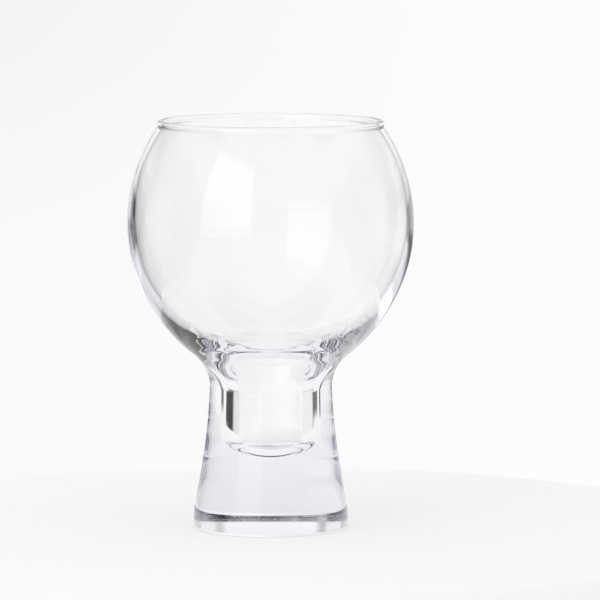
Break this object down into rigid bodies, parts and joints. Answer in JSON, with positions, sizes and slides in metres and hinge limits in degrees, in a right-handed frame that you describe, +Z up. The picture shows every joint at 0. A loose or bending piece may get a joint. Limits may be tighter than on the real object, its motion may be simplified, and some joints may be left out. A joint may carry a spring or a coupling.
{
  "type": "stemmed bubble tumbler",
  "caption": "Clear drinking glass with a round bubble bowl on a short hollow stem and a heavy flared foot.",
  "frame": {"origin": "centre of the flat ring that the foot rests on", "axes": "+Z up along the glass's axis of turning; the glass is round, so X and Y are alike"},
  "size_m": [0.1074, 0.1074, 0.1533],
  "materials": {
    "clear_glass": "clear soda-lime glass, fire-polished inside and out"
  },
  "bodies": {
    "root": {"bowl": "clear_glass", "stem": "clear_glass", "foot": "clear_glass"}
  },
  "joints": []
}
